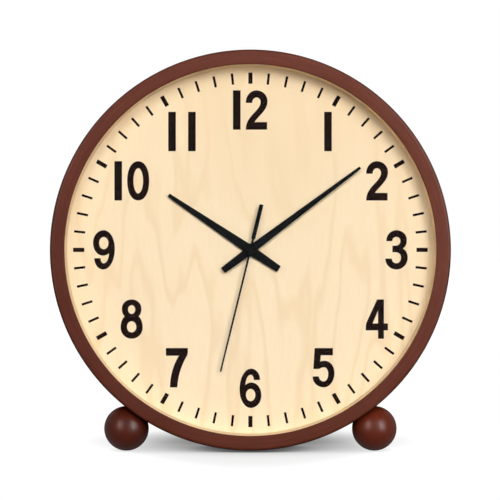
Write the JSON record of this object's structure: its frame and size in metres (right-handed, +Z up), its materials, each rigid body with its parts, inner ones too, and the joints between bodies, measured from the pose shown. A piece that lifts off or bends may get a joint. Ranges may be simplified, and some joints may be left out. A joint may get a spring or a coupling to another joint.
{
  "type": "desk clock",
  "caption": "Round wooden desk clock on ball feet: pale wood dial with bold numerals, black hour, minute and second hands, geared quartz movement behind.",
  "frame": {"origin": "on the shelf, at the middle of the clock's box seen from above", "axes": "+Z up, the dial faces -Y and leans back by 1.52 degrees, +X to the right of someone who reads the dial"},
  "size_m": [0.2, 0.0472, 0.201],
  "materials": {
    "case_wood": "satin stained hardwood",
    "foot_wood": "satin stained hardwood",
    "clear_glass": "clear mineral glass",
    "cream_card": "matt cream card",
    "dial_wood": "clear satin lacquer over pale veneer",
    "board": "bare fibreboard",
    "cover_board": "dark hardboard",
    "screw_steel": "zinc plated",
    "hand_black": "matt black lacquer",
    "brass": "turned brass",
    "movement_black": "moulded, fine grain",
    "gear_white": "moulded acetal",
    "magnet": "sintered ferrite",
    "lamination": "bare soft iron",
    "copper": "lacquered copper wire",
    "bobbin_red": "moulded",
    "circuit_green": "solder mask",
    "crystal_can": "drawn metal can",
    "chip_black": "potting resin",
    "contact_steel": "nickel plated spring strip",
    "cell_jacket": "plain satin jacket",
    "knob_black": "moulded, fluted"
  },
  "bodies": {
    "clock": {"case_ring": "case_wood", "ball_feet": "foot_wood", "foot_screws": "screw_steel", "glass_lens": "clear_glass", "spacer_ring": "cream_card", "dial_face": "dial_wood", "dial_board": "board", "backing_ring": "board", "back_cover": "cover_board", "cover_screws": "screw_steel", "threaded_bush": "brass", "bush_nut": "brass", "bush_washer": "screw_steel", "front_case": "movement_black", "rear_case": "movement_black", "gear_plate": "gear_white", "stator": "lamination", "coil_core": "lamination", "coil_bobbin": "bobbin_red", "coil_winding": "copper", "circuit_board": "circuit_green", "quartz_crystal": "crystal_can", "clock_chip": "chip_black", "negative_contact": "contact_steel", "positive_contact": "contact_steel"},
    "hour_hand_and_wheel": {"hour_hand": "hand_black", "hour_wheel": "gear_white"},
    "minute_hand_and_wheel": {"minute_hand": "hand_black", "centre_wheel": "gear_white"},
    "second_hand_and_wheel": {"second_hand": "hand_black", "second_wheel": "gear_white"},
    "third_wheel_arbor": {"third_wheel": "gear_white"},
    "intermediate_arbor": {"intermediate_wheel": "gear_white"},
    "rotor": {"rotor_pinion": "gear_white", "rotor_magnet": "magnet"},
    "setting_arbor": {"minute_wheel": "gear_white", "setting_knob": "knob_black"},
    "cell": {"battery": "cell_jacket"}
  },
  "joints": [
    {"name": "minute_hand_turn", "type": "hinge", "parent": "clock", "child": "minute_hand_and_wheel", "pos_m": [0, -0.00141, 0.10054], "axis": [0, 0.9996, -0.0266], "continuous": true},
    {"name": "hour_hand_turn", "type": "hinge", "parent": "clock", "child": "hour_hand_and_wheel", "pos_m": [0, -0.00141, 0.10054], "axis": [0, 0.9996, -0.0266], "continuous": true},
    {"name": "second_hand_turn", "type": "hinge", "parent": "clock", "child": "second_hand_and_wheel", "pos_m": [0, -0.00141, 0.10054], "axis": [0, 0.9996, -0.0266], "continuous": true},
    {"name": "third_wheel_turn", "type": "hinge", "parent": "clock", "child": "third_wheel_arbor", "pos_m": [-0.009, -0.00141, 0.10054], "axis": [0, 0.9996, -0.0266], "continuous": true},
    {"name": "intermediate_turn", "type": "hinge", "parent": "clock", "child": "intermediate_arbor", "pos_m": [0.009, -0.00141, 0.10054], "axis": [0, 0.9996, -0.0266], "continuous": true},
    {"name": "rotor_turn", "type": "hinge", "parent": "clock", "child": "rotor", "pos_m": [0.01436, -0.00129, 0.10504], "axis": [0, 0.9996, -0.0266], "continuous": true},
    {"name": "setting_knob_turn", "type": "hinge", "parent": "clock", "child": "setting_arbor", "pos_m": [0, -0.00117, 0.10954], "axis": [0, 0.9996, -0.0266], "continuous": true},
    {"name": "cell_slide", "type": "slide", "parent": "clock", "child": "cell", "axis": [0, 0.9996, -0.0266], "range_m": [0, 0.0231]}
  ],
  "couplings": [
    {"joint": "hour_hand_turn", "follows": "minute_hand_turn", "ratio": 0.083333},
    {"joint": "second_hand_turn", "follows": "minute_hand_turn", "ratio": 60},
    {"joint": "third_wheel_turn", "follows": "minute_hand_turn", "ratio": -8},
    {"joint": "intermediate_turn", "follows": "minute_hand_turn", "ratio": -300},
    {"joint": "rotor_turn", "follows": "minute_hand_turn", "ratio": 1800},
    {"joint": "setting_knob_turn", "follows": "minute_hand_turn", "ratio": -0.33333}
  ]
}
